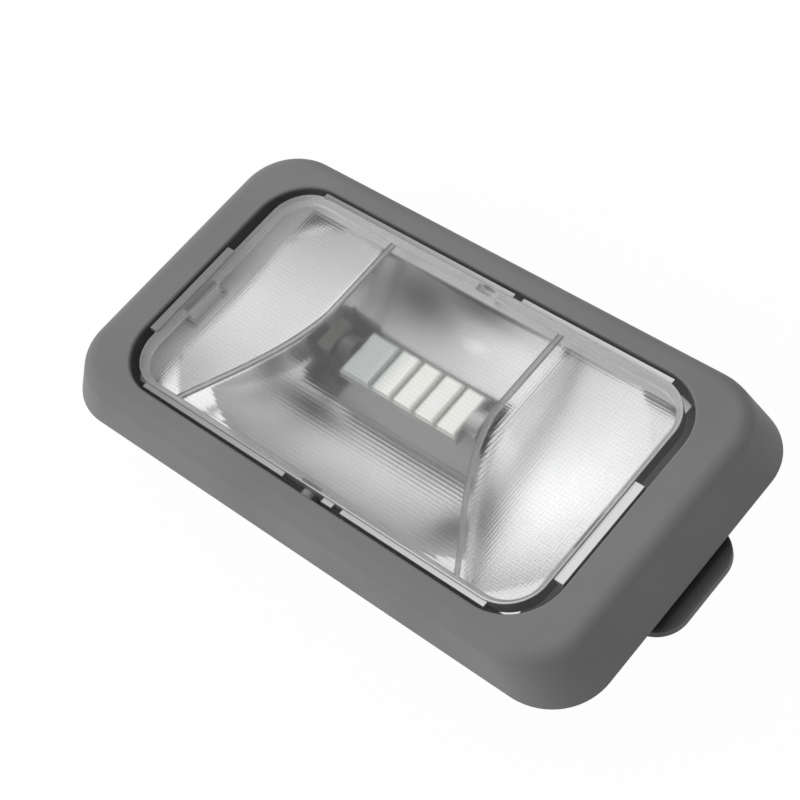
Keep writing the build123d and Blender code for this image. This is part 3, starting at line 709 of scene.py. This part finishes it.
@dataclass
class RibbedLens:
    """Clear rocker: the moulded lens with micro-prisms cut into the back of its two end fields."""

    node: str = "lens"
    piece: str = "ribbed_lens"
    back: float = 8.0 * MM
    prism_pitch: float = 0.56 * MM
    prism_depth: float = 0.045 * MM
    prism_fade: float = 1.5 * MM
    crease: float = math.radians(35.0)
    panel_half: Place = mm(47.5, 25.0)
    panel_corner: float = 8.0 * MM
    wall_skin: float = 0.06 * MM
    skirt_wall: float = 1.6 * MM
    front_edge: float = 9.55 * MM
    front_tilt: float = 0.97
    skirt_top: float = 7.9 * MM
    skirt_foot: float = 6.95 * MM
    divider_top: float = 7.7 * MM
    clear: ClearPlastic = ClearPlastic("clear_plastic", roughness=0.15, line_tint=grey(0.84))
    # Satin edges: painted light across X, dark on the left, pale on the right.
    satin: ClearPlastic = ClearPlastic(
        "satin_edge", tint=grey(0.2), roughness=0.3, shade=0.3, clarity=0.15, lit_side_tint=grey(0.72)
    )
    # Dark walls: painted shade on the outer walls seen in the gap, painted light on their inner side.
    dark: ClearPlastic = ClearPlastic(
        "dark_wall", tint=grey(0.16), roughness=0.3, shade=0.5, clarity=0.2, inner_light_tint=grey(0.6)
    )
    frosted: ClearPlastic = ClearPlastic(
        "frosted_skirt", tint=grey(0.8), roughness=0.35, shade=0.3, clarity=0.3
    )
    rib: ClearPlastic = ClearPlastic("clouded_rib", tint=grey(0.4), roughness=0.3, shade=0.3, clarity=0.35)

    def build(self, nodes: Nodes, groups: SharedGroups) -> bpy.types.Object:
        """Make the dressed lens and put it in the moulded one's place.

        Args:
            nodes: CAD nodes by name.
            groups: Shared shader groups.

        Returns:
            The dressed lens.
        """
        shape = bmesh.new()
        shape.from_mesh(nodes[self.node].data)
        bmesh.ops.remove_doubles(shape, verts=shape.verts[:], dist=0.001 * MM)
        for face in shape.faces:
            face.smooth = True
        for side in Field:
            self._cut_prisms(shape, side)
        shape.normal_update()
        self._sort_zones(shape)
        mesh = bpy.data.meshes.new(self.piece)
        shape.to_mesh(mesh)
        shape.free()
        stored = mesh.attributes.get("custom_normal")
        if stored is not None:
            mesh.attributes.remove(stored)
        lens = bpy.data.objects.new(self.piece, mesh)
        bpy.context.scene.collection.objects.link(lens)
        for finish in (self.clear, self.satin, self.dark, self.frosted, self.rib):
            mesh.materials.append(finish.material(groups))
        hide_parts(self.node)
        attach(lens, Body.ROCKER.value)
        LOG.info("%s: %d faces", self.piece, len(mesh.polygons))
        return lens

    def _sort_zones(self, shape: bmesh.types.BMesh) -> None:
        """Mark the creases and give every face the material number of its zone.

        Args:
            shape: Mesh of the lens.
        """
        for edge in shape.edges:
            edge.smooth = edge.calc_face_angle(math.pi) < self.crease
        for face in shape.faces:
            face.material_index = self._zone(face.calc_center_median(), face.normal).value

    def _zone(self, middle: Vector, normal: Vector) -> Zone:
        """Tell which finish a face has.

        Args:
            middle: The face's middle.
            normal: Its outward direction.

        Returns:
            Its zone.
        """
        upright = abs(normal.z) < 0.5
        outside = self._outside(middle)
        in_skirt = outside > -self.skirt_wall
        if outside > -self.wall_skin:
            return Zone.DARK if upright else Zone.SATIN
        if in_skirt and middle.z > self.front_edge and normal.z < self.front_tilt:
            return Zone.SATIN
        if middle.z < self.skirt_foot:
            return Zone.FROSTED
        if in_skirt and middle.z < self.skirt_top:
            return Zone.FROSTED if upright else Zone.DARK
        return Zone.RIB if middle.z < self.divider_top else Zone.CLEAR

    def _outside(self, place: Vector) -> float:
        """Measure how far a place lies outside the panel's rounded outline.

        Args:
            place: The place.

        Returns:
            Its distance in metres, below zero inside.
        """
        across = abs(place.x) - self.panel_half[0] + self.panel_corner
        along = abs(place.y) - self.panel_half[1] + self.panel_corner
        beyond = math.hypot(max(across, 0.0), max(along, 0.0))
        return beyond + min(max(across, along), 0.0) - self.panel_corner

    def _field_faces(self, shape: bmesh.types.BMesh, side: Field) -> list[bmesh.types.BMFace]:
        """Find the flat back of one end field.

        Args:
            shape: Mesh of the lens.
            side: Which end field.

        Returns:
            Its faces.
        """
        found = []
        for face in shape.faces:
            middle = face.calc_center_median()
            flat = face.normal.z < -0.999 and abs(middle.z - self.back) < 0.01 * MM
            if flat and middle.x * side.value > 0.0:
                found.append(face)
        return found

    def _cut_prisms(self, shape: bmesh.types.BMesh, side: Field) -> None:
        """Cut one end field into cells and press a prism into each.

        Args:
            shape: Mesh of the lens.
            side: Which end field.
        """
        faces = self._cut_cells(shape, self._field_faces(shape, side))
        inside = set(faces)
        places = {vertex for face in faces for vertex in face.verts}
        rim = [vertex for vertex in places if not inside.issuperset(vertex.link_faces)]
        tree = KDTree(len(rim))
        for number, vertex in enumerate(rim):
            tree.insert(vertex.co, number)
        tree.balance()
        for vertex in places.difference(rim):
            fade = min(1.0, tree.find(vertex.co)[2] / self.prism_fade)
            across = abs(vertex.co.x / self.prism_pitch % 1.0 - 0.5)
            along = abs(vertex.co.y / self.prism_pitch % 1.0 - 0.5)
            vertex.co.z -= fade * self.prism_depth * (1.0 - 2.0 * max(across, along))
        for face in faces:
            face.smooth = False
        LOG.info("lens %s field: %d prism faces", side.name.lower(), len(faces))

    def _cut_cells(
        self, shape: bmesh.types.BMesh, faces: list[bmesh.types.BMFace]
    ) -> list[bmesh.types.BMFace]:
        """Cut flat faces along a square grid, two lines to each prism.

        Args:
            shape: Mesh of the lens.
            faces: The flat faces.

        Returns:
            The faces after the cuts.
        """
        edges = {edge for face in faces for edge in face.edges}
        corners = {corner for face in faces for corner in face.verts}
        geometry: list[Any] = [*faces, *edges, *corners]
        half = self.prism_pitch / 2
        for axis, direction in enumerate((Vector((1, 0, 0)), Vector((0, 1, 0)))):
            low = min(corner.co[axis] for corner in corners)
            high = max(corner.co[axis] for corner in corners)
            for step in range(math.ceil(low / half), math.floor(high / half) + 1):
                plane = {"plane_co": direction * step * half, "plane_no": direction}
                cut = bmesh.ops.bisect_plane(shape, geom=geometry, dist=1e-8, **plane)
                geometry = cut["geom"]
        return [item for item in geometry if isinstance(item, bmesh.types.BMFace)]


@dataclass
class Mouldings:
    """Bezel and rear housing."""

    # The bezel carries painted shade on the walls of its opening.
    bezel_finish: ShadedCollar = ShadedCollar(
        "bezel_grey", (0.168, 0.167, 0.166), (0.155, 0.154, 0.153), 0.55, 2600.0, 0.03 * MM
    )
    # The rear housing carries painted light on the tongue's tip.
    housing_finish: TongueLitTip = TongueLitTip(
        "housing_dark", (0.03, 0.03, 0.029), (0.022, 0.022, 0.021), 0.5, 1800.0, 0.03 * MM
    )

    def dress(self, nodes: Nodes, groups: SharedGroups) -> None:
        """Give both mouldings their finish.

        Args:
            nodes: CAD nodes by name.
            groups: Shared shader groups.
        """
        put_finish(nodes, ("bezel",), self.bezel_finish.material(groups))
        put_finish(nodes, ("rear_housing",), self.housing_finish.material(groups))


@dataclass
class LampAndContacts:
    """Reflector, lamp, strips, bridges, clip and screws."""

    cells: tuple[str, ...] = ("led_1", "led_2", "led_3", "led_4", "led_5")
    strips: tuple[str, ...] = ("feed_strip", "common_strip", "earth_strip", "door_strip")
    bridges: tuple[str, ...] = ("on_bridge", "door_bridge")
    reflector: Metallised = Metallised()
    cell: LampCell = LampCell()
    board: MouldedPlastic = MouldedPlastic(
        "board_lacquer", (0.36, 0.37, 0.36), (0.3, 0.31, 0.3), 0.4, 3000.0, 0.01 * MM
    )
    # The lamp caps are alike; the left one is dark grey as painted shade at the dark left end of the well,
    # the right one keeps its bright metal.
    dark_cap: StampedMetal = StampedMetal("dark_cap", grey(0.16), grey(0.1), 0.42)
    bright_cap: StampedMetal = StampedMetal("bright_cap", (0.8, 0.79, 0.79), (0.66, 0.65, 0.66), 0.45)
    brass: StampedMetal = StampedMetal("dulled_brass", (0.14, 0.135, 0.125), (0.08, 0.078, 0.072), 0.4)
    steel: StampedMetal = StampedMetal("spring_steel", grey(0.6), grey(0.42), 0.35)

    def dress(self, nodes: Nodes, groups: SharedGroups) -> None:
        """Give every inner piece its finish.

        Args:
            nodes: CAD nodes by name.
            groups: Shared shader groups.
        """
        put_finish(nodes, ("reflector",), self.reflector.material(groups))
        put_finish(nodes, self.cells, self.cell.material(groups))
        put_finish(nodes, ("lamp_board",), self.board.material(groups))
        # Left cap: painted shade.
        put_finish(nodes, ("lamp_cap_left",), self.dark_cap.material(groups))
        put_finish(nodes, ("lamp_cap_right",), self.bright_cap.material(groups))
        put_finish(nodes, self.strips + self.bridges, self.brass.material(groups))
        put_finish(nodes, ("retaining_clip", "housing_screws"), self.steel.material(groups))


def put_finish(nodes: Nodes, names: tuple[str, ...], material: bpy.types.Material) -> None:
    """Assign one material to several CAD nodes.

    Args:
        nodes: CAD nodes by name.
        names: Nodes that take the material.
        material: The material.
    """
    for name in names:
        slots = nodes[name].data.materials
        slots.clear()
        slots.append(material)
        LOG.info("%s: %s", name, material.name)


@dataclass(frozen=True)
class Softbox:
    """Large soft square lamp that faces the light."""

    name: str
    direction: Place
    distance: float
    side: float
    power: float

    def build(self) -> None:
        """Place the lamp."""
        lamp = bpy.data.lights.new(self.name, "AREA")
        lamp.shape = "RECTANGLE"
        lamp.size = self.side
        lamp.size_y = self.side
        lamp.energy = self.power
        placed = bpy.data.objects.new(self.name, lamp)
        towards = Vector(self.direction).normalized()
        placed.location = towards * self.distance
        placed.rotation_euler = towards.to_track_quat("Z", "Y").to_euler()
        placed.visible_glossy = False
        placed.visible_transmission = False
        bpy.context.scene.collection.objects.link(placed)


@dataclass(frozen=True)
class SkyPanel:
    """Soft bright panel, or dark flag where its level is below zero, painted into the sky."""

    direction: Place
    level: float
    width: float = 0.22


@dataclass
class Studio:
    """Floor, world, lamp and camera."""

    floor_z: float = -15.5 * MM
    floor_half: float = 6.0
    floor_colour: Colour = grey(0.7)
    floor_roughness: float = 0.9
    floor_white: float = 0.975
    sky_least: float = 0.05
    sky_level: float = 0.38
    sky_slope: Place = (-0.1, 0.27, 0.34)
    panels: tuple[SkyPanel, ...] = (
        SkyPanel((-0.79, 0.31, 0.53), 0.95),
        SkyPanel((-0.71, -0.42, 0.57), 0.6),
        SkyPanel((0.29, 0.33, 0.90), 0.45),
        SkyPanel((-0.05, 0.75, 0.66), -0.75),
        SkyPanel((-0.08, -0.36, 0.93), -0.5),
    )
    key: Softbox = Softbox("key_softbox", (-0.5, -0.6, 0.63), 1.0, 0.7, 8.2)
    camera_place: Place = mm(184.53, -109.17, 288.17)
    camera_degrees: Place = (34.855, 13.634, 40.952)
    focal_length: float = 90.22
    sensor_width: float = 36.0
    nearest: float = 0.01
    farthest: float = 50.0

    def build(self) -> None:
        """Set up everything round the light."""
        self._floor()
        self._world()
        self.key.build()
        self._camera()
        bpy.context.scene.view_settings.view_transform = "Standard"
        LOG.info("studio: floor, sky with %d panels, %s, camera", len(self.panels), self.key.name)

    def _floor(self) -> None:
        """Lay the pale floor."""
        shape = bmesh.new()
        bmesh.ops.create_grid(shape, x_segments=1, y_segments=1, size=self.floor_half)
        bmesh.ops.translate(shape, verts=shape.verts[:], vec=(0.0, 0.0, self.floor_z))
        mesh = bpy.data.meshes.new("floor")
        shape.to_mesh(mesh)
        shape.free()
        floor = bpy.data.objects.new("floor", mesh)
        bpy.context.scene.collection.objects.link(floor)
        mesh.materials.append(self._floor_material())

    def _floor_material(self) -> bpy.types.Material:
        """Paint the floor: nearly white to the eye, pale to the light, with a trace of the shadow.

        Returns:
            The material.
        """
        material, wiring, shader, _ = new_material("pale_floor")
        wiring.feed(shader, {"Base Color": (*self.floor_colour, 1.0), "Roughness": self.floor_roughness})
        path = wiring.node("ShaderNodeLightPath").outputs
        seen = wiring.sum("MAXIMUM", path["Is Camera Ray"], path["Is Transmission Ray"])
        seen = wiring.sum("MAXIMUM", seen, path["Is Glossy Ray"])
        white = wiring.node("ShaderNodeEmission", {"Strength": 1.0})
        share = wiring.sum("MULTIPLY", seen, self.floor_white)
        mix = wiring.node("ShaderNodeMixShader", {0: share, 1: shader.outputs[0], 2: white.outputs[0]})
        wiring.feed(wiring.tree.nodes["Material Output"], {"Surface": mix.outputs[0]})
        return material

    def _world(self) -> None:
        """Surround the light with a sky that is brighter above and behind, with panels and flags in it."""
        world = bpy.data.worlds.new("studio")
        bpy.context.scene.world = world
        world.use_nodes = True
        wiring = Wiring(world.node_tree)
        direction = wiring.node("ShaderNodeTexCoord").outputs["Generated"]
        slope = wiring.vector("DOT_PRODUCT", direction, self.sky_slope)["Value"]
        level = wiring.sum("ADD", slope, self.sky_level)
        for panel in self.panels:
            axis = tuple(Vector(panel.direction).normalized())
            towards = wiring.vector("DOT_PRODUCT", direction, axis)["Value"]
            off_axis = wiring.sum("SUBTRACT", towards, 1.0)
            fade = wiring.sum("EXPONENT", wiring.sum("DIVIDE", off_axis, panel.width**2))
            level = wiring.sum("MULTIPLY_ADD", fade, panel.level, level)
        strength = wiring.sum("MAXIMUM", level, self.sky_least)
        background = world.node_tree.nodes["Background"]
        wiring.feed(background, {"Color": (1.0, 1.0, 1.0, 1.0), "Strength": strength})

    def _camera(self) -> None:
        """Put the camera where the photograph was taken from."""
        data = bpy.data.cameras.new("camera")
        data.lens = self.focal_length
        data.sensor_width = self.sensor_width
        data.clip_start = self.nearest
        data.clip_end = self.farthest
        camera = bpy.data.objects.new("camera", data)
        turn = Euler([math.radians(angle) for angle in self.camera_degrees])
        camera.matrix_world = Matrix.Translation(self.camera_place) @ turn.to_matrix().to_4x4()
        bpy.context.scene.collection.objects.link(camera)
        bpy.context.scene.camera = camera


def main() -> None:
    """Build the scene."""
    logging.basicConfig(level=logging.INFO, format="%(name)s: %(message)s")
    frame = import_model()
    nodes = frame["nodes"]
    groups = SharedGroups()
    Mouldings().dress(nodes, groups)
    LampAndContacts().dress(nodes, groups)
    RibbedLens().build(nodes, groups)
    Studio().build()


if __name__ == "__main__":
    main()
